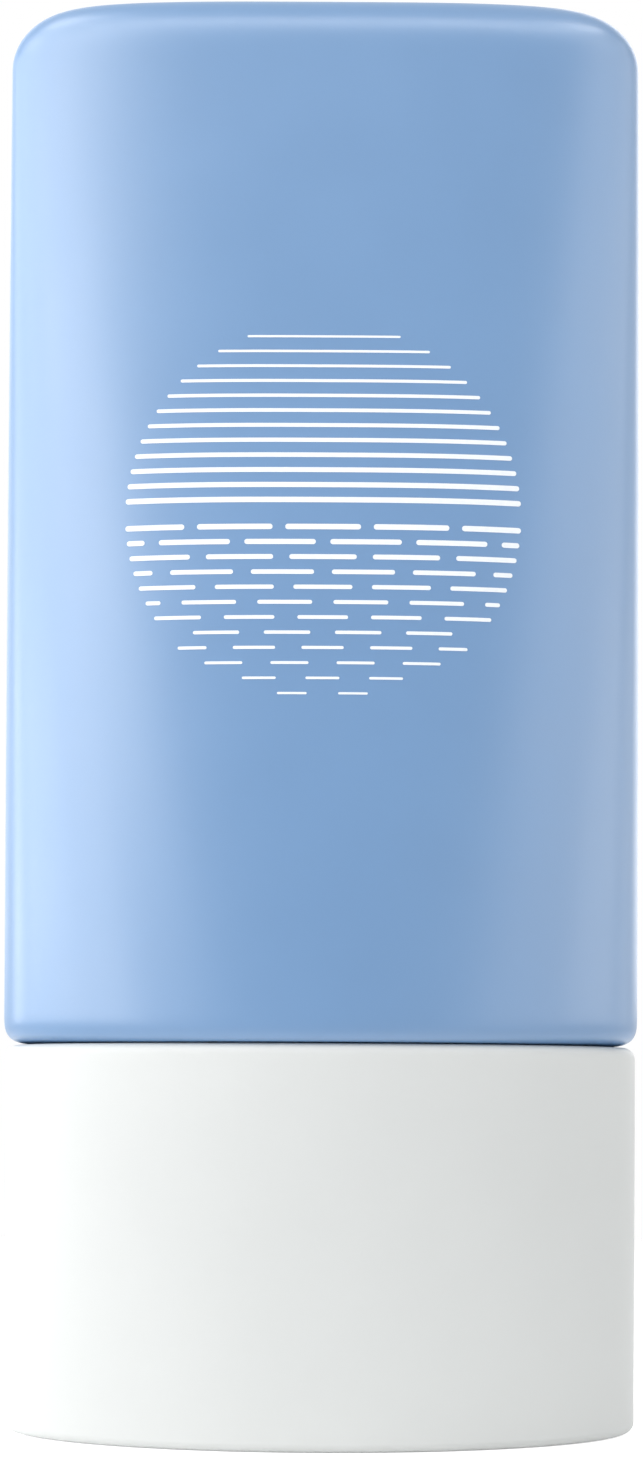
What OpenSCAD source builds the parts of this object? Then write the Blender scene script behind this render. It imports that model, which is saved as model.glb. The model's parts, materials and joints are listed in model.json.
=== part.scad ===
// Flat oval sunscreen bottle that stands upside down on its oval screw cap.
// Millimetres. X is the width, Y the depth with the front at -Y, and +Z is up.
// The origin is the centre of the cap's flat closed end, which the bottle stands on.

/* [Body] */
// Width of the body at the seam with the cap
body_w = 47.5; // [44:0.1:60]
// Depth of the body at the seam with the cap
body_d = 26.9; // [22:0.1:34]
// Width that the body loses from the seam to its top
body_narrowing = 0.5; // [0:0.1:8]
// Depth that the body tapers to at its top
body_top_d = 10; // [9:0.1:24]
// Height of the body from the seam to its top
body_h = 77.6; // [55:0.1:120]
// Wall of the blow-moulded body
body_wall = 1; // [0.7:0.05:1.4]
// Rise of the slightly crowned top
body_crown = 0.4; // [0.2:0.05:1]
// Squareness of the plan at the top, where 2 is a plain ellipse
top_squareness = 3.4; // [2:0.1:4]

/* [Body edges] */
// Width of the rounding at the two ends of the top
top_round_w = 5.5; // [3:0.1:8]
// Depth of the rounding along the front and back of the top
top_round_d = 2.4; // [1.8:0.1:4]
// Height of the rounding around the top
top_round_h = 4.5; // [2.5:0.1:7]
// Width of the rounding at the two ends of the body's seam edge
seam_round_w = 1.75; // [1.4:0.05:3]
// Depth of the rounding along the front and back of the body's seam edge
seam_round_d = 0.9; // [0.7:0.05:3]
// Height of the rounding around the seam edge of the body
seam_round_h = 2.45; // [1.6:0.05:3.5]

/* [Neck] */
// Length of the neck below the shoulder
neck_h = 13.3; // [10:0.1:16]
// Wall of the neck
neck_wall = 1.5; // [1:0.1:2]
// Height of the thread ridge that stands on the neck
thread_h = 0.9; // [0.6:0.05:1]
// Length of the thicker bead at the root of the neck
neck_bead_h = 1.4; // [1:0.1:2]
// Gap between the body and the rim of the cap
seam_gap = 0.2; // [0.1:0.05:0.5]

/* [Closing stops] */
// Gap between the ends of the two stops and the mouth of the cap, which they pass on the way out
stop_gap = 0.4; // [0.3:0.05:0.6]
// Thickness of each stop, in the direction that it turns
stop_t = 1.5; // [1:0.1:2.5]
// Length over which the stops of the body and the cap overlap
stop_overlap = 0.6; // [0.4:0.05:0.7]

/* [Cap] */
// Step by which the cap's wall lies inside the body's at the seam
cap_step = 0.2; // [0:0.05:0.5]
// Height of the cap
cap_h = 28.6; // [26:0.1:40]
// Wall of the cap's shell
cap_wall = 1.6; // [1.3:0.05:1.7]
// Wall of the cap's shell at its mouth, above the ledge that the insert sits on
mouth_wall = 1.1; // [0.8:0.05:1.2]
// Radius of the edge around the flat closed end
end_round = 0.7; // [0.4:0.1:1.3]
// Radius of the outer edge of the rim
rim_round = 0.9; // [0.3:0.05:1]

/* [Cap insert] */
// Gap between the threaded cup and the shell, where the oval is narrowest. It sets the neck's diameter
cup_gap = 0.5; // [0.3:0.1:2.5]
// Wall of the threaded cup
cup_wall = 1; // [0.7:0.05:1.4]
// Thickness of the oval flange around the cup's mouth
flange_t = 1.2; // [0.8:0.1:2]
// Depth of the flange below the rim of the cap
flange_recess = 0.9; // [0.8:0.05:2]
// Thickness of each rib between the cup and the shell
rib_t = 1; // [0.7:0.1:1.5]
// Ribs on each side of the cup
ribs_a_side = 3; // [1:1:4]
// Distance from one rib to the next
rib_pitch = 4; // [3:0.1:5]
// Reach of the bead in the shell's mouth that snaps over the flange
snap_reach = 0.2; // [0.1:0.05:0.3]
// Height of that bead
snap_h = 0.4; // [0.3:0.05:0.6]

/* [Sealing] */
// Thickness of the foam liner
liner_t = 1.2; // [0.8:0.1:2]
// Thickness of the nozzle plug's flange and web
plug_t = 1; // [0.8:0.1:1.6]
// Wall of the sleeve that holds the plug in the neck
plug_wall = 0.9; // [0.6:0.1:1.2]
// Length of that sleeve inside the neck
plug_h = 7; // [5:0.1:9]
// Diameter of the orifice
orifice_d = 2.6; // [1.5:0.1:3.5]
// Wall of the short tube around the orifice
spout_wall = 0.9; // [0.6:0.1:1.2]
// Length of that tube inside the plug
spout_h = 2.6; // [1.5:0.1:4]

/* [Contents] */
// Height of the air space above the contents
head_space = 21.5; // [8:0.5:24]

/* [Hidden] */

$fn = 96;

// Clearances between pieces
thread_clear = 0.3;
press_clear = 0.04;
insert_clear = 0.06;
liner_clear = 0.3;
stop_clear = 0.15;
fill_clear = 0.15;
// Overrun of every cut past the face that it opens
cut = 0.5;
// Least radius that a rounding keeps on the inside of the wall
least_round = 0.3;

// Power of the height by which the depth falls from the seam to the top
taper_power = 1.1;
// Squareness of the plan at the seam, the same plain ellipse as the cap
seam_squareness = 2;

// Sides of a ring of the outside, and of the inside
outer_sides = 72;
inner_sides = 48;
// Rings in each rounding, and along the straight of the wall
round_steps = 6;
wall_steps = 8;
// Rings of the crown, as shares of the flat top's size
crown_shares = [0.7, 0.35];

// Heights in the stack, from the cap's closed end up
body_z = cap_h + seam_gap;
body_top_z = body_z + body_h;
mouth_z = body_z - neck_h;
plug_z = mouth_z - plug_t;
liner_z = plug_z - liner_t;
cup_z = liner_z - cup_wall;
flange_top_z = cap_h - flange_recess;
flange_z = flange_top_z - flange_t;
snap_z = flange_top_z + insert_clear;
fill_top_z = body_top_z - body_wall - head_space;

// Half of the cap's width and depth, and half of the body's width at its top
cap_half_w = body_w / 2 - cap_step;
cap_half_d = body_d / 2 - cap_step;
body_top_w = body_w - body_narrowing;

// Radii about the neck's axis, from the room inside the cap inwards
cup_outer_r = cap_half_d - cap_wall - cup_gap;
cup_r = cup_outer_r - cup_wall;
bead_r = cup_r - thread_clear;
neck_r = bead_r - thread_h;
bore_r = neck_r - neck_wall;
sleeve_r = bore_r - press_clear;
plug_inner_r = sleeve_r - plug_wall;
orifice_r = orifice_d / 2;
spout_r = orifice_r + spout_wall;
stop_r = cap_half_d - mouth_wall - snap_reach - stop_gap;

// Each stop takes half of the room between the shoulder and the flange, and half of the overlap
stop_room = body_z - flange_top_z;
stop_h = (stop_room + stop_overlap) / 2;

// Power curve of a superellipse: 2 gives a circle's own sine and cosine
function curve(v, power) = sign(v) * pow(abs(v), 2 / power);

// One ring of points around the axis at height z
function oval_ring(z, half_w, half_d, power, sides) =
    [for (i = [0:sides - 1]) let (turn = 360 * i / sides)
        [half_w * curve(cos(turn), power), half_d * curve(sin(turn), power), z]];

// A rounding size on a surface that lies inset inside the outside
function inner_round(size, inset) = max(size - inset, least_round);

// Share of the body's height that a point at z has reached
function climb(z) = min(1, max(0, (z - body_z) / body_h));

// A ring of the body at height z. The roundings draw it in by in_w and in_d
function body_ring(z, inset, in_w, in_d, size, sides) =
    let (up = climb(z), half_w = body_w / 2 + (body_top_w - body_w) / 2 * up,
         half_d = body_d / 2 + (body_top_d - body_d) / 2 * pow(up, taper_power),
         power = seam_squareness + (top_squareness - seam_squareness) * up)
    oval_ring(z, (half_w - inset - in_w) * size, (half_d - inset - in_d) * size, power, sides);

// Heights of the wall's rings, between the two roundings
function wall_levels(low, high) = [for (i = [1:wall_steps]) low + (high - low) * i / (wall_steps + 1)];

// Rings of the body's surface, inset from the outside, up to where its top rounding starts
function lower_rings(inset, high, sides) =
    let (low = body_z + inset, w = inner_round(seam_round_w, inset), d = inner_round(seam_round_d, inset),
         h = inner_round(seam_round_h, inset))
    concat(
        [for (i = [0:round_steps]) let (q = 90 * i / round_steps)
            body_ring(low + h * (1 - cos(q)), inset, w * (1 - sin(q)), d * (1 - sin(q)), 1, sides)],
        [for (z = wall_levels(low + h, high)) body_ring(z, inset, 0, 0, 1, sides)]);

// Rings of the top rounding and of the crown
function top_rings(inset, sides) =
    let (w = inner_round(top_round_w, inset), d = inner_round(top_round_d, inset),
         h = inner_round(top_round_h, inset), edge = top_edge_z(inset))
    concat(
        [for (i = [0:round_steps]) let (q = 90 * i / round_steps)
            body_ring(edge + h * sin(q), inset, w * (1 - cos(q)), d * (1 - cos(q)), 1, sides)],
        [for (s = crown_shares)
            body_ring(edge + h + body_crown * (1 - s * s), inset, w, d, s, sides)]);

// Height at which the top rounding starts on an inset surface
function top_edge_z(inset) = body_top_z - inset - body_crown - inner_round(top_round_h, inset);

// Solid through a list of rings. The peak closes it at the top
module loft(rings, peak, sides) {
    last = len(rings) - 1;
    points = concat([for (ring = rings) each ring], [[0, 0, peak], [0, 0, rings[0][0].z]]);
    top = len(points) - 2;
    bottom = top + 1;
    side_faces = [for (k = [0:last - 1], i = [0:sides - 1])
        let (a = k * sides + i, b = k * sides + (i + 1) % sides)
        each [[a, a + sides, b + sides], [a, b + sides, b]]];
    top_faces = [for (i = [0:sides - 1])
        [last * sides + i, top, last * sides + (i + 1) % sides]];
    bottom_faces = [for (i = [0:sides - 1]) [bottom, i, (i + 1) % sides]];
    polyhedron(points, concat(side_faces, top_faces, bottom_faces), convexity = 4);
}

// The body's solid, inset from its outside
module body_solid(inset, sides) {
    loft(concat(lower_rings(inset, top_edge_z(inset), sides), top_rings(inset, sides)),
        body_top_z - inset, sides);
}

// Upright block of the cap's oval from height z, inset from the cap's outside
module oval_block(inset, z, height) {
    half_w = cap_half_w - inset;
    translate([0, 0, z]) linear_extrude(height)
        scale([1, (cap_half_d - inset) / half_w]) circle(half_w);
}

// Waste outside a rounded edge of the cap.
// The edge is at height z, and way is 1 for the lower edge and -1 for the upper one
module edge_waste(z, radius, way) {
    scale([1, cap_half_d / cap_half_w, 1]) rotate_extrude() difference() {
        translate([cap_half_w - radius, way > 0 ? z - cut : z - radius]) square(radius + cut);
        translate([cap_half_w - radius, z + way * radius]) circle(radius);
    }
}

// Pair of stops, each on the side of its radius that way gives. They meet when the cap is closed
module stops(z, way) {
    inner = bead_r - cut;
    for (side = [0, 180])
        rotate(side) translate([inner, way > 0 ? stop_clear / 2 : -stop_clear / 2 - stop_t, z])
            cube([stop_r - inner, stop_t, stop_h]);
}

// Blow-moulded body with its shoulder and its neck, open through the bore
module bottle_shell() {
    color([0.56, 0.69, 0.86]) difference() {
        union() {
            body_solid(0, outer_sides);
            translate([0, 0, mouth_z]) cylinder(r = neck_r, h = neck_h + body_wall / 2);
            translate([0, 0, body_z - neck_bead_h]) cylinder(r = bead_r, h = neck_bead_h + body_wall / 2);
            stops(body_z - stop_h, 1);
        }
        body_solid(body_wall, inner_sides);
        translate([0, 0, mouth_z - cut]) cylinder(r = bore_r, h = neck_h + cut + body_wall + least_round);
    }
}

// Orifice plug pressed into the neck, with its flange on the neck's mouth
module nozzle_plug() {
    color([0.97, 0.97, 0.95]) difference() {
        union() {
            translate([0, 0, plug_z]) cylinder(r = neck_r, h = plug_t);
            translate([0, 0, plug_z]) cylinder(r = sleeve_r, h = plug_t + plug_h);
        }
        difference() {
            translate([0, 0, mouth_z]) cylinder(r = plug_inner_r, h = plug_h + cut);
            translate([0, 0, plug_z]) cylinder(r = spout_r, h = plug_t + spout_h);
        }
        translate([0, 0, plug_z - cut]) cylinder(r = orifice_r, h = plug_t + spout_h + 2 * cut);
    }
}

// Lotion in the body and in the neck, below the air space
module sunscreen_fill() {
    inset = body_wall + fill_clear;
    neck_z = mouth_z + spout_h + fill_clear;
    top = body_ring(fill_top_z, inset, 0, 0, 1, inner_sides);
    color([0.98, 0.96, 0.90]) union() {
        loft(concat(lower_rings(inset, fill_top_z, inner_sides), [top]), fill_top_z, inner_sides);
        translate([0, 0, neck_z])
            cylinder(r = plug_inner_r - fill_clear, h = body_z + inset + least_round - neck_z);
    }
}

// Outer shell of the cap: an oval cup with a ledge and a snap bead inside its mouth
module cap_shell() {
    color([0.96, 0.97, 0.97]) difference() {
        oval_block(0, -cut, cap_h + cut);
        translate([-body_w, -body_w, -cap_h]) cube([2 * body_w, 2 * body_w, cap_h]);
        edge_waste(0, end_round, 1);
        edge_waste(cap_h, rim_round, -1);
        oval_block(cap_wall, cap_wall, cap_h);
        oval_block(mouth_wall, flange_z, snap_z - flange_z);
        oval_block(mouth_wall + snap_reach, snap_z - cut, cap_h);
        oval_block(mouth_wall, snap_z + snap_h, cap_h);
    }
}

// Threaded cup inside the cap, with the flange that seats on the shell's ledge
module cap_insert() {
    flange_in = mouth_wall + insert_clear;
    rib_in = cap_wall + insert_clear;
    rib_h = flange_z - cup_z + flange_t / 2;
    color([0.93, 0.94, 0.94]) difference() {
        union() {
            oval_block(flange_in, flange_z, flange_t);
            translate([0, 0, cup_z]) cylinder(r = cup_outer_r, h = flange_top_z - cup_z);
            stops(flange_top_z, -1);
            intersection() {
                oval_block(rib_in, cup_z, rib_h);
                for (i = [0:ribs_a_side - 1])
                    translate([-cap_half_w, (i - (ribs_a_side - 1) / 2) * rib_pitch - rib_t / 2, cup_z])
                        cube([2 * cap_half_w, rib_t, rib_h]);
            }
        }
        translate([0, 0, liner_z]) cylinder(r = cup_r, h = cap_h);
    }
}

// Foam disc on the floor of the cup, which the plug's flange presses on
module cap_liner() {
    color([0.90, 0.91, 0.90]) translate([0, 0, liner_z])
        cylinder(r = cup_r - liner_clear, h = liner_t);
}

bottle_shell();
nozzle_plug();
sunscreen_fill();
cap_shell();
cap_insert();
cap_liner();
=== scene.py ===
"""Looks of a flat oval sunscreen bottle that stands upside down on its screw cap.

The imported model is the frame. Lengths are millimetres here, and meshes are made in metres.
X is the width, -Y the front and +Z up, with the origin under the middle of the cap.
"""

import json
import logging
import math
from dataclasses import dataclass, field
from enum import Enum
from typing import Iterable, Sequence, Union

import bmesh
import bpy
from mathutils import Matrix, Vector

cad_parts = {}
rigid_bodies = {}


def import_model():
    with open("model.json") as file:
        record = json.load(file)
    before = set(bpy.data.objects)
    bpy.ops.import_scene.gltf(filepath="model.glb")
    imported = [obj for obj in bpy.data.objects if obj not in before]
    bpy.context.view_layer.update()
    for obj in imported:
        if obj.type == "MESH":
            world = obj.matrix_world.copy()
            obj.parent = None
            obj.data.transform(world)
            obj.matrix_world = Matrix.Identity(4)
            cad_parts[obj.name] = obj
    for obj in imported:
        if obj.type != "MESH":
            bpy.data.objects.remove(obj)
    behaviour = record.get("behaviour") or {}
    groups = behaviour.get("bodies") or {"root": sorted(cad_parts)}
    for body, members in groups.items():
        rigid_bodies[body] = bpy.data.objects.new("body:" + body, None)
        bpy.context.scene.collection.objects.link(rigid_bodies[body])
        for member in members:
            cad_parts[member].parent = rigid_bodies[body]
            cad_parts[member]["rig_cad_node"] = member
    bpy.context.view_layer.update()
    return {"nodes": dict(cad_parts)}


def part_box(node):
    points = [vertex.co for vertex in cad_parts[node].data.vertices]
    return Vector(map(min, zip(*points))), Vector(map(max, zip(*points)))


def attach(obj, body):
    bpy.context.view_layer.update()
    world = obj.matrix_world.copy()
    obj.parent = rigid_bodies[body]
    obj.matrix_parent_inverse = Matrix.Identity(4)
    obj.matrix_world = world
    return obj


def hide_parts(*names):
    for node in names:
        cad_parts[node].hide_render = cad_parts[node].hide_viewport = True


LOG = logging.getLogger("sunscreen_bottle")

MM = 0.001
FULL_TURN = 2 * math.pi
NOISE_MIDDLE = 0.5

Pair = tuple[float, float]
Point = tuple[float, float, float]
Ring = list[Point]
Face = tuple[int, ...]
Bar = tuple[float, float, float, float]
Rgb = tuple[float, float, float]
Operand = Union["Value", float]


class ThreadSide(Enum):
    """Which way a thread ridge stands on its wall, as a factor on its height."""

    OUTSIDE = 1.0
    INSIDE = -1.0


class Shelf(Enum):
    """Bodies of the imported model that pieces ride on."""

    CAP = "cap"
    LINER = "liner"
    BOTTLE = "bottle"


def linear(color: Rgb) -> tuple[float, float, float, float]:
    """Turn a screen colour into the linear colour that a shader takes.

    Args:
        color: Red, green and blue as they show on a screen, from 0 to 1.

    Returns:
        The linear colour with an alpha of 1.
    """
    knee, slope, offset, power = 0.04045, 12.92, 0.055, 2.4
    parts = [c / slope if c <= knee else ((c + offset) / (1 + offset)) ** power for c in color]
    return (parts[0], parts[1], parts[2], 1.0)


def lerp(start: float, end: float, share: float) -> float:
    """Return the number that lies share of the way from start to end."""
    return start + (end - start) * share


def bell(distance: float, width: float) -> float:
    """Return 1 at no distance, falling smoothly to 0 a few widths away."""
    return math.exp(-((distance / width) ** 2))


def steps(count: int) -> list[float]:
    """Return count + 1 even shares from 0 to 1."""
    return [i / count for i in range(count + 1)]


class Value:
    """A number socket of a shader tree that Python's operators work on."""

    def __init__(self, tree: "Tree", socket: bpy.types.NodeSocket) -> None:
        """Wrap one output socket of a tree."""
        self.tree = tree
        self.socket = socket

    def _math(self, operation: str, *operands: Operand) -> "Value":
        """Add a Math node that works on the operands, in order."""
        node = self.tree.add("ShaderNodeMath", {"operation": operation}, dict(enumerate(operands)))
        return Value(self.tree, node.outputs[0])

    def __add__(self, other: Operand) -> "Value":
        """Return self + other."""
        return self._math("ADD", self, other)

    def __radd__(self, other: float) -> "Value":
        """Return other + self."""
        return self._math("ADD", other, self)

    def __sub__(self, other: Operand) -> "Value":
        """Return self - other."""
        return self._math("SUBTRACT", self, other)

    def __rsub__(self, other: float) -> "Value":
        """Return other - self."""
        return self._math("SUBTRACT", other, self)

    def __mul__(self, other: Operand) -> "Value":
        """Return self * other."""
        return self._math("MULTIPLY", self, other)

    def __rmul__(self, other: float) -> "Value":
        """Return other * self."""
        return self._math("MULTIPLY", other, self)

    def __truediv__(self, other: Operand) -> "Value":
        """Return self / other."""
        return self._math("DIVIDE", self, other)

    def at_most(self, limit: float) -> "Value":
        """Return the value, or the limit where it is greater."""
        return self._math("MINIMUM", self, limit)


class Tree:
    """The node tree of one material, or of the surroundings."""

    def __init__(self, owner: Union[bpy.types.Material, bpy.types.World]) -> None:
        """Empty the owner's tree.

        Args:
            owner: The material, or the surroundings, that the tree belongs to.
        """
        owner.use_nodes = True
        self.owner = owner
        self.nodes = owner.node_tree.nodes
        self.links = owner.node_tree.links
        self.nodes.clear()

    def add(self, kind: str, settings: dict[str, object],
            inputs: dict[Union[str, int], object]) -> bpy.types.Node:
        """Add a node.

        Args:
            kind: The node's type.
            settings: Properties that are set first, such as a Math node's operation.
            inputs: A value, a Value or a socket for each named or numbered input.

        Returns:
            The new node.
        """
        node = self.nodes.new(kind)
        for name, setting in settings.items():
            setattr(node, name, setting)
        for name, given in inputs.items():
            if isinstance(given, Value):
                self.links.new(given.socket, node.inputs[name])
            elif isinstance(given, bpy.types.NodeSocket):
                self.links.new(given, node.inputs[name])
            else:
                node.inputs[name].default_value = given
        return node

    def place(self, stretch: Point = (1.0, 1.0, 1.0)) -> bpy.types.NodeSocket:
        """Measure the place on the object in millimetres.

        Args:
            stretch: Factor on each axis.

        Returns:
            The place as a vector.
        """
        spot = self.add("ShaderNodeTexCoord", {}, {})
        scaled = self.add("ShaderNodeVectorMath", {"operation": "MULTIPLY"},
                          {0: spot.outputs["Object"], 1: tuple(s / MM for s in stretch)})
        return scaled.outputs[0]

    def noise(self, size: float, detail: float = 2.0, stretch: Point = (1.0, 1.0, 1.0)) -> Value:
        """Return noise from 0 to 1.

        Args:
            size: Size of its features in millimetres.
            detail: Number of finer octaves.
            stretch: Factor on each axis, where a small one draws the features out along it.

        Returns:
            The noise as a value.
        """
        node = self.add("ShaderNodeTexNoise", {"noise_dimensions": "3D"},
                        {"Vector": self.place(stretch), "Scale": 1 / size, "Detail": detail})
        return Value(self, node.outputs[0])

    def mix(self, share: Operand, first: Rgb, second: Rgb) -> bpy.types.NodeSocket:
        """Mix two colours.

        Args:
            share: How far the mixed colour lies towards the second, from 0 to 1.
            first: The first colour.
            second: The second colour.

        Returns:
            The mixed colour.
        """
        node = self.add("ShaderNodeMix", {"data_type": "RGBA"},
                        {0: share, 6: linear(first), 7: linear(second)})
        return node.outputs[2]

    def bump(self, height: Value, relief: float) -> bpy.types.NodeSocket:
        """Let a surface stand out.

        Args:
            height: The height over the surface, from 0 to 1.
            relief: Millimetres by which the surface stands out at height 1.

        Returns:
            The normal of that surface.
        """
        node = self.add("ShaderNodeBump", {},
                        {"Strength": 1.0, "Distance": relief * MM, "Height": height})
        return node.outputs[0]

    def seen(self) -> Value:
        """Tell the rays that show the surroundings from those that light the object.

        Returns:
            1 for rays of the camera, of reflections and of transmission, and 0 for others.
        """
        path = self.add("ShaderNodeLightPath", {}, {})
        rays = [Value(self, path.outputs[f"Is {kind} Ray"])
                for kind in ("Camera", "Glossy", "Transmission")]
        return (rays[0] + rays[1] + rays[2]).at_most(1.0)

    def surface(self, shader: bpy.types.Node) -> Union[bpy.types.Material, bpy.types.World]:
        """Send a shader to the output.

        Args:
            shader: The finished shader.

        Returns:
            The tree's owner.
        """
        kind = "World" if isinstance(self.owner, bpy.types.World) else "Material"
        self.add(f"ShaderNodeOutput{kind}", {}, {"Surface": shader.outputs[0]})
        return self.owner


@dataclass(frozen=True)
class MouldedPlastic:
    """Plastic from a mould: even colour, fine grain and a soft shine."""

    name: str
    color: Rgb
    roughness: float
    tint_shift: float = 0.012
    roughness_shift: float = 0.05
    cloud_size: float = 14.0
    grain_size: float = 0.16
    grain_relief: float = 0.0025
    specular: float = 0.5
    index: float = 1.5
    coat: float = 0.0
    coat_roughness: float = 0.3

    def tint(self, tree: Tree) -> bpy.types.NodeSocket:
        """Spread faint clouds over the colour.

        Args:
            tree: The material's tree.

        Returns:
            The clouded colour.
        """
        darker = tuple(max(0.0, c - self.tint_shift) for c in self.color)
        lighter = tuple(min(1.0, c + self.tint_shift) for c in self.color)
        return tree.mix(tree.noise(self.cloud_size), darker, lighter)

    def relief(self, tree: Tree) -> bpy.types.NodeSocket:
        """Return the normal of the mould's grain."""
        return tree.bump(tree.noise(self.grain_size, detail=1.0), self.grain_relief)

    def material(self) -> bpy.types.Material:
        """Make the material.

        Returns:
            The finished material.
        """
        tree = Tree(bpy.data.materials.new(self.name))
        rubbed = tree.noise(self.cloud_size / 2, detail=3.0) - NOISE_MIDDLE
        shader = tree.add("ShaderNodeBsdfPrincipled", {}, {
            "Base Color": self.tint(tree),
            "Roughness": rubbed * (2 * self.roughness_shift) + self.roughness,
            "Specular IOR Level": self.specular,
            "IOR": self.index,
            "Coat Weight": self.coat,
            "Coat Roughness": self.coat_roughness,
            "Normal": self.relief(tree),
        })
        return tree.surface(shader)


@dataclass(frozen=True)
class BlownPlastic(MouldedPlastic):
    """Plastic of a blow-moulded body, with the faint upright lines of the die."""

    line_size: float = 0.9
    line_share: float = 0.35
    draw_out: float = 0.02

    def relief(self, tree: Tree) -> bpy.types.NodeSocket:
        """Lay the grain and the die lines over each other.

        Args:
            tree: The material's tree.

        Returns:
            The normal of the two together.
        """
        lines = tree.noise(self.line_size, stretch=(1.0, 1.0, self.draw_out))
        grain = tree.noise(self.grain_size, detail=1.0)
        mixed = grain * (1 - self.line_share) + lines * self.line_share
        return tree.bump(mixed, self.grain_relief)


@dataclass(frozen=True)
class FoamSheet(MouldedPlastic):
    """Closed-cell foam, cut from a sheet."""

    cell_size: float = 0.5
    cell_relief: float = 0.03

    def relief(self, tree: Tree) -> bpy.types.NodeSocket:
        """Open the cells that the cut left on the face of the sheet.

        Args:
            tree: The material's tree.

        Returns:
            The normal of the cells.
        """
        cells = tree.add("ShaderNodeTexVoronoi", {"feature": "F1"},
                         {"Vector": tree.place(), "Scale": 1 / self.cell_size})
        return tree.bump(1 - Value(tree, cells.outputs["Distance"]), self.cell_relief)


@dataclass(frozen=True)
class Ink:
    """Opaque ink laid on by a screen, a little uneven where the mesh let it through."""

    name: str
    color: Rgb
    thin_color: Rgb
    roughness: float = 0.5
    roughness_gain: float = 0.1
    mesh_size: float = 0.3
    mesh_relief: float = 0.002
    thin_share: float = 0.3

    def material(self) -> bpy.types.Material:
        """Make the material.

        Returns:
            The finished material.
        """
        tree = Tree(bpy.data.materials.new(self.name))
        uneven = tree.noise(self.mesh_size)
        shader = tree.add("ShaderNodeBsdfPrincipled", {}, {
            "Base Color": tree.mix(uneven * self.thin_share, self.color, self.thin_color),
            "Roughness": uneven * self.roughness_gain + self.roughness,
            "Normal": tree.bump(uneven, self.mesh_relief),
        })
        return tree.surface(shader)


@dataclass(frozen=True)
class StudioFloor:
    """Pale floor that shows white to the camera and keeps the object's shadow."""

    name: str = "studio_floor"
    color: Rgb = (0.97, 0.97, 0.97)
    lit_level: float = 0.28
    fade: float = 260.0

    def near(self, tree: Tree) -> Value:
        """Return 1 about the object, where the floor takes its shadow, and 0 farther away."""
        away = tree.add("ShaderNodeVectorMath", {"operation": "LENGTH"}, {0: tree.place()})
        return 1 - (Value(tree, away.outputs["Value"]) / self.fade).at_most(1.0)

    def material(self) -> bpy.types.Material:
        """Make the material.

        Returns:
            The finished material.
        """
        tree = Tree(bpy.data.materials.new(self.name))
        seen, near = tree.seen(), self.near(tree)
        lit = tree.add("ShaderNodeBsdfDiffuse", {}, {"Color": linear(self.color)})
        shadowed = tree.add("ShaderNodeMixShader", {}, {0: seen * (1 - near), 1: lit.outputs[0]})
        glow = tree.add("ShaderNodeEmission", {}, {
            "Color": (1.0, 1.0, 1.0, 1.0),
            "Strength": seen * (1 - near * self.lit_level),
        })
        both = tree.add("ShaderNodeAddShader", {}, {0: shadowed.outputs[0], 1: glow.outputs[0]})
        return tree.surface(both)


def make_piece(name: str, points: Iterable[Point], faces: Sequence[Sequence[int]],
               crease: float = 35.0) -> bpy.types.Object:
    """Make a mesh object from points in millimetres.

    Args:
        name: Name of the piece.
        points: Its points.
        faces: Its faces, as numbers of points.
        crease: Angle in degrees above which an edge stays sharp.

    Returns:
        The object, linked to the scene, with its normals outwards.
    """
    mesh = bpy.data.meshes.new(name)
    mesh.from_pydata([tuple(c * MM for c in p) for p in points], [], faces)
    shape = bmesh.new()
    shape.from_mesh(mesh)
    bmesh.ops.recalc_face_normals(shape, faces=shape.faces)
    for face in shape.faces:
        face.smooth = True
    for edge in shape.edges:
        if len(edge.link_faces) == 2 and edge.calc_face_angle() > math.radians(crease):
            edge.smooth = False
    shape.to_mesh(mesh)
    shape.free()
    piece = bpy.data.objects.new(name, mesh)
    bpy.context.scene.collection.objects.link(piece)
    return piece


def bar_faces(base: int, count: int) -> list[Face]:
    """Return the faces of a closed bar whose sections have four points each.

    Args:
        base: Number of its first point.
        count: Number of its sections.

    Returns:
        The faces, the two ends first.
    """
    last = base + 4 * (count - 1)
    faces: list[Face] = [(base, base + 1, base + 2, base + 3),
                         (last + 3, last + 2, last + 1, last)]
    for k in range(count - 1):
        for i in range(4):
            a, b = base + 4 * k + i, base + 4 * k + (i + 1) % 4
            faces.append((a, b, b + 4, a + 4))
    return faces


def finish_piece(piece: bpy.types.Object, shelf: Shelf,
                 look: bpy.types.Material) -> bpy.types.Object:
    """Dress a piece, let it ride on its body and report it.

    Args:
        piece: The piece in place.
        shelf: The body that it rides on.
        look: Its material.

    Returns:
        The piece.
    """
    piece.data.materials.clear()
    piece.data.materials.append(look)
    if "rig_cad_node" not in piece:
        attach(piece, shelf.value)
    LOG.info("%s rides on %s with %d faces", piece.name, shelf.value, len(piece.data.polygons))
    return piece


@dataclass
class Loft:
    """Skin through rings that all have the same number of points."""

    sides: int
    points: Ring = field(default_factory=list)

    def add(self, ring: Ring) -> None:
        """Add the next ring."""
        self.points.extend(ring)

    def faces(self) -> list[Face]:
        """Join each ring to the next.

        Returns:
            The faces between the rings.
        """
        rings = len(self.points) // self.sides
        skin = []
        for k in range(rings - 1):
            for i in range(self.sides):
                a, b = k * self.sides + i, k * self.sides + (i + 1) % self.sides
                skin.append((a, b, b + self.sides, a + self.sides))
        return skin

    def make(self, name: str, first: Point, last: Point) -> bpy.types.Object:
        """Make the piece.

        Args:
            name: Name of the piece.
            first: Point that closes the first ring.
            last: Point that closes the last ring.

        Returns:
            The closed piece.
        """
        skin = self.faces()
        start, end = len(self.points), len(self.points) + 1
        base = len(self.points) - self.sides
        for i in range(self.sides):
            after = (i + 1) % self.sides
            skin.append((start, after, i))
            skin.append((end, base + i, base + after))
        return make_piece(name, [*self.points, first, last], skin)


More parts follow.
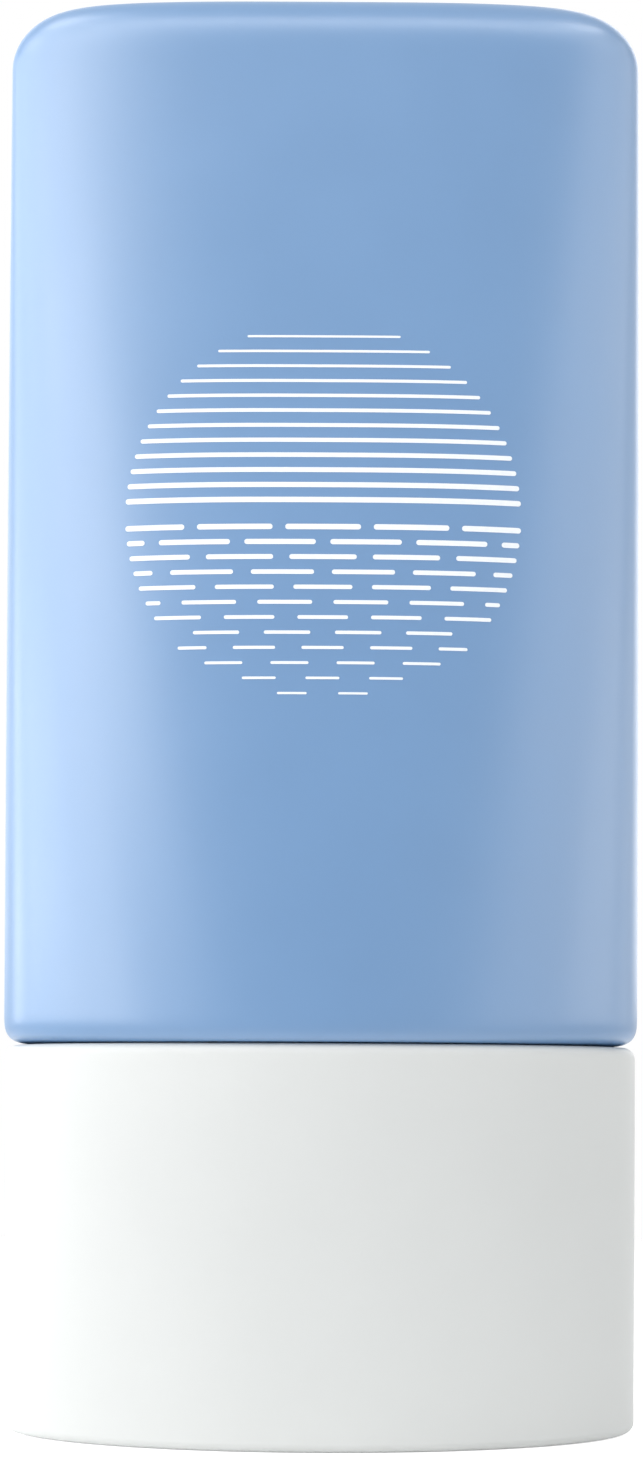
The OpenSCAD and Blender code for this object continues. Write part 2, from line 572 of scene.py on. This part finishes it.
@dataclass
class OvalPlan:
    """Spacing of the points around an oval, closer together near the two ends of its width."""

    sides: int = 256
    gather: float = 0.34

    def turns(self) -> list[float]:
        """Return the angles of the points."""
        even = [FULL_TURN * i / self.sides for i in range(self.sides)]
        return [t - self.gather * math.sin(2 * t) for t in even]

    def ring(self, half_w: float, half_d: float, z: float, power: float = 2.0) -> Ring:
        """Return a ring of the oval.

        Args:
            half_w: Half of its width.
            half_d: Half of its depth.
            z: Its height.
            power: Its squareness, where 2 is an ellipse.

        Returns:
            The points of the ring.
        """
        ring = []
        for turn in self.turns():
            c, s = math.cos(turn), math.sin(turn)
            reach = (abs(c) ** power + abs(s) ** power) ** (-1 / power)
            ring.append((half_w * reach * c, half_d * reach * s, z))
        return ring


@dataclass
class Helix:
    """A thread ridge wound on a round wall, with run-in and run-out."""

    radius: float
    height: float
    side: ThreadSide
    start_z: float
    turns: float = 1.5
    pitch: float = 3.0
    foot: float = 1.05
    crest: float = 0.45
    sink: float = 0.06
    run_in: float = 0.07
    least_rise: float = 0.04
    steps_a_turn: int = 96
    crease: float = 30.0

    def section(self, share: float) -> list[Pair]:
        """Work out the ridge's section, which is lower in the run-in and the run-out.

        Args:
            share: Share of the ridge's length.

        Returns:
            The four corners, as radius and height from the middle of the ridge.
        """
        rise = min(1.0, share / self.run_in, (1 - share) / self.run_in)
        rise = max(self.least_rise, rise * rise * (3 - 2 * rise))
        way = self.side.value
        low, high = self.radius - way * self.sink, self.radius + way * self.height * rise
        foot, crest = self.foot / 2 * rise, self.crest / 2 * rise
        return [(low, -foot), (high, -crest), (high, crest), (low, foot)]

    def make(self, name: str) -> bpy.types.Object:
        """Wind the ridge.

        Args:
            name: Name of the piece.

        Returns:
            The closed piece.
        """
        count = round(self.turns * self.steps_a_turn)
        points: Ring = []
        for share in steps(count):
            turn = share * self.turns * FULL_TURN
            z = self.start_z + share * self.turns * self.pitch
            points += [(r * math.cos(turn), r * math.sin(turn), z + h)
                       for r, h in self.section(share)]
        return make_piece(name, points, bar_faces(0, count + 1), self.crease)


@dataclass
class Body:
    """The blow-moulded bottle: its skin, neck, thread, stops, pinch scar and print.

    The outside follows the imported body, drawn in by relief so that the parting line can stand
    on it.
    """

    skin_look: BlownPlastic = BlownPlastic("blue_satin", (0.369, 0.536, 0.714), 0.32,
                                           specular=1.0, index=1.6, grain_relief=0.004)
    print_look: Ink = Ink("white_ink", (0.97, 0.98, 0.99), (0.78, 0.84, 0.92))

    seam_step: float = 0.2
    narrowing: float = 0.5
    top_d: float = 10.0
    taper_power: float = 1.1
    top_squareness: float = 3.4
    top_round: Point = (5.5, 2.4, 4.5)
    top_roll: float = 1.3
    seam_round: Point = (2.3, 0.6, 2.5)
    seam_roll: float = 1.8
    crown: float = 0.4
    wall: float = 1.0
    neck_r: float = 8.95
    neck_h: float = 13.3
    neck_wall: float = 1.5
    neck_edge: float = 0.15
    bore_flare: tuple[Pair, ...] = ((1.2, 0.0), (0.3, 0.08), (0.0, 0.4))
    bead_r: float = 9.85
    bead_h: float = 1.4
    bead_ease: float = 0.25
    root_step: float = 0.2
    thread_h: float = 0.85
    thread_start: float = 2.2
    stop_r: float = 11.55
    stop_t: float = 1.5
    stop_h: float = 0.85
    stop_clear: float = 0.15
    stop_root: float = 0.1
    stop_lead: float = 0.2
    stop_steps: int = 6
    scar_w: float = 0.5
    scar_root: float = 0.03
    scar_share: float = 0.8
    scar_ends: int = 12
    scar_steps: int = 60
    relief: float = 0.05
    lip: float = 0.13
    line_w: float = 0.16
    least_round: float = 0.3
    crown_sizes: tuple[float, ...] = (0.93, 0.8, 0.6, 0.4, 0.2, 0.06)
    round_steps: int = 14
    wall_steps: int = 60
    inner_steps: int = 12
    plan: OvalPlan = field(default_factory=OvalPlan)

    def __post_init__(self) -> None:
        """Take the overall sizes from the frame. The body stands out by a step round the cap."""
        low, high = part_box("bottle_shell")
        self.top_z = high.z / MM
        self.mouth_z = low.z / MM
        self.seam_z = self.mouth_z + self.neck_h
        low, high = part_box("cap_shell")
        self.seam_w = (high.x - low.x) / MM + 2 * self.seam_step
        self.seam_d = (high.y - low.y) / MM + 2 * self.seam_step

    def extent(self, z: float, inset: float) -> tuple[float, float, float]:
        """Work out how far the body reaches, without its roundings.

        Args:
            z: The height.
            inset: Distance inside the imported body's outside.

        Returns:
            Half the width, half the depth and the squareness.
        """
        up = min(1.0, max(0.0, (z - self.seam_z) / (self.top_z - self.seam_z)))
        half_w = lerp(self.seam_w, self.seam_w - self.narrowing, up) / 2
        half_d = lerp(self.seam_d, self.top_d, up ** self.taper_power) / 2
        return half_w - inset, half_d - inset, lerp(2.0, self.top_squareness, up)

    def front_y(self, x: float, z: float, proud: float) -> float:
        """Return where the front lies at x and z, a little proud of the skin."""
        half_w, half_d, power = self.extent(z, self.relief - proud)
        return -half_d * (1 - (abs(x) / half_w) ** power) ** (1 / power)

    def ring(self, z: float, inset: float, drawn: Pair = (0.0, 0.0), size: float = 1.0) -> Ring:
        """Return a ring at z, less the inset and what a rounding draws in, times its size."""
        half_w, half_d, power = self.extent(z, inset)
        return self.plan.ring((half_w - drawn[0]) * size, (half_d - drawn[1]) * size, z, power)

    def with_line(self, ring: Ring) -> Ring:
        """Raise the parting line on a ring.

        Args:
            ring: Points of the plain ring.

        Returns:
            The points, which stand out by the relief at both ends of the width.
        """
        lined = []
        for x, y, z in ring:
            ridge = self.relief * bell(y, self.line_w)
            lined.append((x + math.copysign(ridge, x), y, z))
        return lined

    def rounding(self, inset: float, size: Point) -> Point:
        """Return a rounding's sizes on a surface at that inset."""
        return tuple(max(s - inset, self.least_round) for s in size)

    def skin_rings(self, inset: float, wall_steps: int) -> list[Ring]:
        """Return the rings of a surface of the body from the shoulder up to the crown.

        Args:
            inset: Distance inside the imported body's outside.
            wall_steps: Number of rings along the wall.

        Returns:
            The rings, the lowest first.
        """
        low, high = self.seam_z + (inset if inset >= self.wall else -self.lip), self.top_z - inset
        seam, top = self.rounding(inset, self.seam_round), self.rounding(inset, self.top_round)
        edge = high - self.crown - top[2]
        rings = []
        for share in steps(self.round_steps):
            q = share * math.pi / 2
            back = 1 - math.sin(q)
            drawn = (seam[0] * back ** self.seam_roll, seam[1] * back ** self.seam_roll)
            rings.append(self.ring(low + seam[2] * (1 - math.cos(q)), inset, drawn))
        for share in steps(wall_steps)[1:-1]:
            rings.append(self.ring(lerp(low + seam[2], edge, share), inset))
        for share in steps(self.round_steps):
            q = share * math.pi / 2
            back = 1 - math.cos(q)
            drawn = (top[0] * back, top[1] * back ** self.top_roll)
            rings.append(self.ring(edge + top[2] * math.sin(q), inset, drawn))
        for size in self.crown_sizes:
            z = edge + top[2] + self.crown * (1 - size * size)
            rings.append(self.ring(z, inset, (top[0], top[1]), size))
        return rings

    def round_ring(self, radius: float, z: float) -> Ring:
        """Return a circle of the neck."""
        return self.plan.ring(radius, radius, z)

    def neck_rings(self) -> list[Ring]:
        """Work out the neck.

        Returns:
            The rings from the inside of the shoulder, through the bore, to its outside.
        """
        edge, step = self.neck_edge, self.root_step
        bore = self.neck_r - self.neck_wall
        inner_z, bead_z = self.seam_z + self.wall, self.seam_z - self.bead_h
        profile = [
            *((bore + wider, inner_z - drop) for wider, drop in self.bore_flare),
            (bore, self.mouth_z + edge), (bore + edge, self.mouth_z),
            (self.neck_r - edge, self.mouth_z), (self.neck_r, self.mouth_z + edge),
            (self.neck_r, bead_z - self.bead_ease), (self.neck_r + step, bead_z),
            (self.bead_r - edge, bead_z), (self.bead_r, bead_z + edge),
            (self.bead_r, self.seam_z - step - self.lip),
            (self.bead_r + step, self.seam_z - self.lip),
        ]
        return [self.round_ring(r, z) for r, z in profile]

    def make_skin(self) -> bpy.types.Object:
        """Make the whole wall as one closed skin: inside, bore, neck and outside.

        Returns:
            The skin.
        """
        loft = Loft(self.plan.sides)
        for ring in reversed(self.skin_rings(self.wall, self.inner_steps)):
            loft.add(ring)
        for ring in self.neck_rings():
            loft.add(ring)
        for ring in self.skin_rings(self.relief, self.wall_steps):
            loft.add(self.with_line(ring))
        inside, outside = self.top_z - self.wall, self.top_z - self.relief
        return loft.make("body_skin", (0.0, 0.0, inside), (0.0, 0.0, outside))

    def make_thread(self) -> bpy.types.Object:
        """Make the thread ridge on the neck."""
        start_z = self.mouth_z + self.thread_start
        return Helix(self.neck_r, self.thread_h, ThreadSide.OUTSIDE, start_z).make("neck_thread")

    def make_stops(self) -> bpy.types.Object:
        """Make the two stops under the shoulder that meet those of the cap when it is closed.

        Returns:
            Both stops as one piece.
        """
        points: Ring = []
        faces: list[Face] = []
        inner, lead = self.bead_r - self.stop_root, self.stop_lead
        low, high = self.seam_z - self.stop_h, self.seam_z + self.wall / 2
        near, far = self.stop_clear / 2, self.stop_clear / 2 + self.stop_t
        levels = [(low, lead), (low + lead, 0.0), (high, 0.0)]
        for way in (1.0, -1.0):
            base = len(points)
            for z, back in levels:
                edge = [(inner, near), (self.stop_r - back, near)]
                edge += [(math.sqrt((self.stop_r - back) ** 2 - y * y), y)
                         for y in (lerp(near, far, s) for s in steps(self.stop_steps)[1:])]
                edge += [(inner, far)]
                points += [(way * x, way * y, z) for x, y in edge]
            count = (len(points) - base) // len(levels)
            for k in range(len(levels) - 1):
                for i in range(count):
                    a, b = base + k * count + i, base + k * count + (i + 1) % count
                    faces.append((a, b, b + count, a + count))
            faces.append(tuple(base + i for i in reversed(range(count))))
            faces.append(tuple(base + (len(levels) - 1) * count + i for i in range(count)))
        return make_piece("closing_stops", points, faces)

    def make_scar(self) -> bpy.types.Object:
        """Make the fine ridge along the crown where the mould pinched the tube of plastic shut.

        Returns:
            The ridge.
        """
        flat = self.seam_w / 2 - self.narrowing / 2 - self.top_round[0]
        reach = flat * self.scar_share
        foot, ridge = self.scar_w / 2, self.scar_w / 2 / 3
        points: Ring = []
        for share in steps(self.scar_steps):
            x = lerp(-reach, reach, share)
            crest = self.top_z - self.relief - self.crown * (x / flat) ** 2
            rise = self.relief * min(1.0, self.scar_ends * share, self.scar_ends * (1 - share))
            root_z, crest_z = crest - self.scar_root, crest + rise
            points += [(x, -foot, root_z), (x, -ridge, crest_z),
                       (x, ridge, crest_z), (x, foot, root_z)]
        return make_piece("pinch_scar", points, bar_faces(0, len(points) // 4))

    def build(self) -> None:
        """Make the bottle's pieces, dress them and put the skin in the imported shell's place."""
        skin = finish_piece(self.make_skin(), Shelf.BOTTLE, self.skin_look.material())
        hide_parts("bottle_shell")
        finish_piece(Print(self).make(), Shelf.BOTTLE, self.print_look.material())
        for part in (self.make_thread(), self.make_stops(), self.make_scar()):
            finish_piece(part, Shelf.BOTTLE, skin.data.materials[0])


@dataclass
class Print:
    """The front print: a round patch of level bars, whole above and broken into dashes below."""

    body: Body
    centre_z: float = 66.4
    radius: float = 14.2
    rows: int = 12
    first_row: float = 0.9
    pitch: float = 1.1
    thickest: float = 0.4
    thinnest: float = 0.16
    dash: float = 5.4
    dash_loss: float = 0.3
    gap: float = 0.9
    gap_gain: float = 0.12
    proud: float = 0.02
    sink: float = 0.02
    place_step: float = 0.6
    end_steps: int = 5
    crease: float = 40.0

    def bars(self) -> list[Bar]:
        """Lay out the whole bars above the middle and the dashes below it.

        Returns:
            Each bar's start, end, height and thickness.
        """
        bars = []
        for row in range(self.rows):
            share = row / (self.rows - 1)
            thick = lerp(self.thickest, self.thinnest, share)
            rise = (row + self.first_row) * self.pitch
            half = math.sqrt(max(0.0, self.radius ** 2 - rise ** 2))
            if half > thick:
                bars.append((-half, half, self.centre_z + rise, thick))
                bars += self.dashes(row, half, self.centre_z - rise, thick)
        return bars

    def dashes(self, row: int, half: float, z: float, thick: float) -> list[Bar]:
        """Lay out one row of dashes, set over from the row above by half a dash.

        Args:
            row: Number of the row, from the middle down.
            half: Half of the row's width.
            z: Its height.
            thick: Thickness of its dashes.

        Returns:
            Each dash's start, end, height and thickness.
        """
        length = self.dash - self.dash_loss * row
        gap = self.gap + self.gap_gain * row
        period = length + gap
        start = -length / 2 - (period / 2 if row % 2 else 0.0)
        start -= period * math.ceil((half + start) / period)
        found = []
        while start < half:
            low, high = max(start, -half), min(start + length, half)
            if high - low > 2 * thick:
                found.append((low, high, z, thick))
            start += period
        return found

    def bar_points(self, low: float, high: float, z: float, thick: float) -> list[Point]:
        """Work out the points of one bar with round ends, laid on the front of the body.

        Args:
            low: Start of the bar.
            high: Its end.
            z: Its height.
            thick: Its thickness.

        Returns:
            Four points for each place along the bar.
        """
        cap = thick / 2
        ends = [cap * (1 - math.cos(s * math.pi / 2)) for s in steps(self.end_steps)]
        count = max(2, round((high - low) / self.place_step))
        middle = [lerp(low + cap, high - cap, s) for s in steps(count)]
        places = [low + e for e in ends[1:-1]] + middle + [high - e for e in reversed(ends[1:-1])]
        points = []
        for x in places:
            end = min(x - low, high - x, cap)
            half = math.sqrt(max(0.0, cap ** 2 - (cap - end) ** 2))
            section = ((half, self.proud), (-half, self.proud),
                       (-half, -self.sink), (half, -self.sink))
            for side, proud in section:
                points.append((x, self.body.front_y(x, z + side, proud), z + side))
        return points

    def make(self) -> bpy.types.Object:
        """Make all bars as thin closed solids.

        Returns:
            The bars as one piece.
        """
        points: Ring = []
        faces: list[Face] = []
        for bar in self.bars():
            edge = self.bar_points(*bar)
            faces += bar_faces(len(points), len(edge) // 4)
            points += edge
        return make_piece("front_print", points, faces, self.crease)


@dataclass
class Cap:
    """The cap's shell, remade with a true edge radius all round, and the thread in its cup."""

    shell_look: MouldedPlastic = MouldedPlastic("white_satin", (0.852, 0.861, 0.857), 0.42,
                                                specular=0.1)
    insert_look: MouldedPlastic = MouldedPlastic("insert_white", (0.90, 0.905, 0.90), 0.5,
                                                 grain_relief=0.004)
    wall: float = 1.6
    mouth_wall: float = 1.1
    end_round: float = 0.7
    rim_round: float = 0.9
    flange_z: float = 26.5
    snap_z: float = 27.76
    snap_h: float = 0.4
    snap_reach: float = 0.2
    floor_round: float = 0.8
    edge_ease: float = 0.08
    end_insets: tuple[float, ...] = (6.0, 2.5, 1.2)
    cup_r: float = 10.15
    ridge_h: float = 0.85
    thread_start: float = 3.7
    round_steps: int = 8
    side_steps: int = 6
    floor_steps: int = 6
    plan: OvalPlan = field(default_factory=OvalPlan)

    def __post_init__(self) -> None:
        """Take the overall sizes from the frame."""
        low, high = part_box("cap_shell")
        self.half_w = (high.x - low.x) / 2 / MM
        self.half_d = (high.y - low.y) / 2 / MM
        self.height = high.z / MM

    def outer_profile(self) -> list[Pair]:
        """Work out the outside, with its two edge radii.

        Returns:
            Inset and height, from the closed end to the rim.
        """
        turned = [share * math.pi / 2 for share in steps(self.round_steps)]
        flat = [(inset, 0.0) for inset in self.end_insets]
        end = [(self.end_round * (1 - math.sin(q)), self.end_round * (1 - math.cos(q)))
               for q in turned]
        side = [(0.0, lerp(self.end_round, self.height - self.rim_round, s))
                for s in steps(self.side_steps)[1:-1]]
        rim = [(self.rim_round * (1 - math.cos(q)),
                self.height - self.rim_round * (1 - math.sin(q))) for q in turned]
        return [*flat, *end, *side, *rim]

    def inner_profile(self) -> list[Pair]:
        """Work out the inside, with the bead and the ledge that hold the insert.

        Returns:
            Inset and height, from the rim to the floor.
        """
        mouth, snap, ease = self.mouth_wall, self.mouth_wall + self.snap_reach, self.edge_ease
        snap_top = self.snap_z + self.snap_h
        turned = [share * math.pi / 2 for share in steps(self.floor_steps)]
        floor = [(self.wall + self.floor_round * (1 - math.cos(q)),
                  self.wall + self.floor_round * (1 - math.sin(q))) for q in turned]
        return [
            (mouth, self.height - ease), (mouth, snap_top + ease),
            (snap, snap_top), (snap, self.snap_z + ease), (mouth, self.snap_z),
            (mouth, self.flange_z), (self.wall, self.flange_z), *floor,
        ]

    def make_shell(self) -> bpy.types.Object:
        """Make the shell as one closed skin.

        Returns:
            The shell.
        """
        loft = Loft(self.plan.sides)
        for inset, z in self.outer_profile() + self.inner_profile():
            loft.add(self.plan.ring(self.half_w - inset, self.half_d - inset, z))
        return loft.make("cap_skin", (0.0, 0.0, 0.0), (0.0, 0.0, self.wall))

    def make_thread(self, mouth_z: float) -> bpy.types.Object:
        """Make the thread ridge in the cup, placed from the height of the bottle's mouth."""
        start_z = mouth_z + self.thread_start
        return Helix(self.cup_r, self.ridge_h, ThreadSide.INSIDE, start_z).make("cup_thread")

    def build(self, mouth_z: float, insert: bpy.types.Object) -> None:
        """Make the pieces of the cap and dress them.

        Args:
            mouth_z: Height of the bottle's mouth.
            insert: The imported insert, which keeps its shape.
        """
        shell = finish_piece(self.make_shell(), Shelf.CAP, self.shell_look.material())
        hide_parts("cap_shell")
        thread = self.make_thread(mouth_z)
        finish_piece(thread, Shelf.CAP, self.insert_look.material())
        finish_piece(insert, Shelf.CAP, self.insert_look.material())


@dataclass
class Insides:
    """The liner, the nozzle plug and the contents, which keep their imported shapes."""

    liner_look: FoamSheet = FoamSheet("liner_foam", (0.91, 0.91, 0.90), 0.7)
    plug_look: MouldedPlastic = MouldedPlastic("natural_white", (0.93, 0.93, 0.905), 0.3, coat=0.15)
    fill_look: MouldedPlastic = MouldedPlastic("lotion", (0.965, 0.95, 0.90), 0.22, coat=0.4,
                                               grain_size=3.0, grain_relief=0.02)

    def build(self, nodes: dict[str, bpy.types.Object]) -> None:
        """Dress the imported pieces.

        Args:
            nodes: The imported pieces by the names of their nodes.
        """
        finish_piece(nodes["cap_liner"], Shelf.LINER, self.liner_look.material())
        finish_piece(nodes["nozzle_plug"], Shelf.BOTTLE, self.plug_look.material())
        finish_piece(nodes["sunscreen_fill"], Shelf.BOTTLE, self.fill_look.material())


@dataclass(frozen=True)
class SoftBox:
    """One soft box on a dome about the object.

    The azimuth turns from the front towards the object's left side as the camera sees it.
    """

    azimuth: float
    elevation: float
    level: float
    wide: float
    tall: float = 20.0
    distance: float = 600.0
    watts: float = 10.0

    def make(self, name: str, aim: Vector) -> None:
        """Make the box.

        Args:
            name: Name of the lamp.
            aim: The point that it faces, in millimetres.
        """
        turn, rise = math.radians(self.azimuth), math.radians(self.elevation)
        across = math.cos(rise)
        away = Vector((-math.sin(turn) * across, -math.cos(turn) * across, math.sin(rise)))
        data = bpy.data.lights.new(name, "AREA")
        data.shape = "RECTANGLE"
        width, height = (2 * self.distance * MM * math.tan(math.radians(s / 2))
                         for s in (self.wide, self.tall))
        data.size, data.size_y = width * across, height
        data.energy = self.watts * self.level * data.size * data.size_y
        light = bpy.data.objects.new(name, data)
        light.location = (aim + away * self.distance) * MM
        light.rotation_euler = (-away).to_track_quat("-Z", "Y").to_euler()
        bpy.context.scene.collection.objects.link(light)


# Azimuth, elevation, level, width and height of each box, in degrees but for the level.
BROAD_SIDE = (
    SoftBox(22.0, 42.0, 0.78, 11.0), SoftBox(37.0, 42.0, 0.91, 22.0),
    SoftBox(58.0, 42.0, 0.55, 27.0), SoftBox(32.0, 22.0, 0.78, 11.0),
    SoftBox(47.0, 22.0, 1.02, 22.0), SoftBox(71.0, 22.0, 0.86, 30.0),
    SoftBox(104.0, 22.0, 0.65, 36.0), SoftBox(37.0, 2.0, 0.16, 22.0),
    SoftBox(58.0, 2.0, 0.77, 27.0), SoftBox(86.0, 2.0, 0.94, 32.0),
    SoftBox(115.0, 2.0, 1.03, 16.0), SoftBox(150.0, 25.0, 0.2, 30.0, 50.0),
)
WEAK_SIDE = (
    SoftBox(-47.0, 42.0, 0.37, 22.0), SoftBox(-79.0, 42.0, 0.3, 46.0),
    SoftBox(-52.0, 22.0, 0.37, 38.0), SoftBox(-86.0, 22.0, 0.37, 32.0),
    SoftBox(-115.0, 22.0, 0.15, 16.0), SoftBox(-54.0, 2.0, 0.27, 36.0),
    SoftBox(-86.0, 2.0, 0.47, 32.0), SoftBox(-115.0, 2.0, 0.28, 16.0),
    SoftBox(-150.0, 25.0, 0.4, 30.0, 50.0),
)
TOP_EDGE = (
    SoftBox(0.0, 60.0, 1.9, 70.0, 5.0), SoftBox(75.0, 65.0, 1.36, 40.0, 15.0),
    SoftBox(-60.0, 62.0, 2.11, 40.0, 6.0), SoftBox(75.0, 45.0, 0.63, 30.0),
    SoftBox(90.0, 40.0, 0.42, 30.0), SoftBox(45.0, 62.0, 0.35, 30.0, 15.0),
)


@dataclass
class Studio:
    """Floor, lights and camera."""

    frame_w: int = 643
    frame_h: int = 1457
    sensor: float = 36.0
    nearest: float = 5.0
    distance: float = 180.0
    eye_z: float = 24.48
    scale_at_axis: float = 13.3207
    axis_row: float = 1081.1
    axis_column: float = 320.3
    tilt: float = 0.0086
    roll: float = 0.005
    floor_side: float = 6000.0
    floor_gap: float = 0.02
    aim_z: float = 60.0
    fill: float = 0.12

    def make_camera(self) -> None:
        """Make the camera, shifted up as a view camera is, so that upright sides stay upright."""
        data = bpy.data.cameras.new("camera")
        data.sensor_width = self.sensor
        data.clip_start = self.nearest * MM
        data.lens = self.scale_at_axis * self.distance / self.frame_h * self.sensor
        data.shift_x = (self.frame_w / 2 - self.axis_column) / self.frame_h
        data.shift_y = (self.axis_row - self.frame_h / 2) / self.frame_h
        camera = bpy.data.objects.new("camera", data)
        camera.location = (0.0, -self.distance * MM, self.eye_z * MM)
        camera.rotation_euler = (math.pi / 2 + self.tilt, -self.roll, 0.0)
        bpy.context.scene.collection.objects.link(camera)
        bpy.context.scene.camera = camera

    def make_floor(self) -> None:
        """Make the floor just under the cap."""
        half, z = self.floor_side / 2, -self.floor_gap
        corners = [(-half, -half, z), (half, -half, z), (half, half, z), (-half, half, z)]
        floor = make_piece("floor", corners, [(0, 1, 2, 3)])
        floor.data.materials.append(StudioFloor().material())

    def make_surroundings(self) -> None:
        """Make the surroundings: white where they are seen, and a weak even light elsewhere."""
        tree = Tree(bpy.data.worlds.new("surroundings"))
        shade = tree.add("ShaderNodeBackground", {}, {
            "Color": (1.0, 1.0, 1.0, 1.0),
            "Strength": tree.seen() * (1 - self.fill) + self.fill,
        })
        bpy.context.scene.world = tree.surface(shade)

    def make(self) -> None:
        """Make the whole studio."""
        self.make_camera()
        self.make_floor()
        self.make_surroundings()
        aim = Vector((0.0, 0.0, self.aim_z))
        for number, box in enumerate(BROAD_SIDE + WEAK_SIDE + TOP_EDGE):
            box.make(f"soft_box_{number}", aim)
        bpy.context.scene.view_settings.view_transform = "Standard"


def main() -> None:
    """Build every piece in order and report it."""
    logging.basicConfig(level=logging.INFO, format="%(name)s: %(message)s")
    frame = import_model()
    nodes = frame["nodes"]

    body = Body()
    body.build()
    Cap().build(body.mouth_z, nodes["cap_insert"])
    Insides().build(nodes)
    Studio().make()


if __name__ == "__main__":
    main()
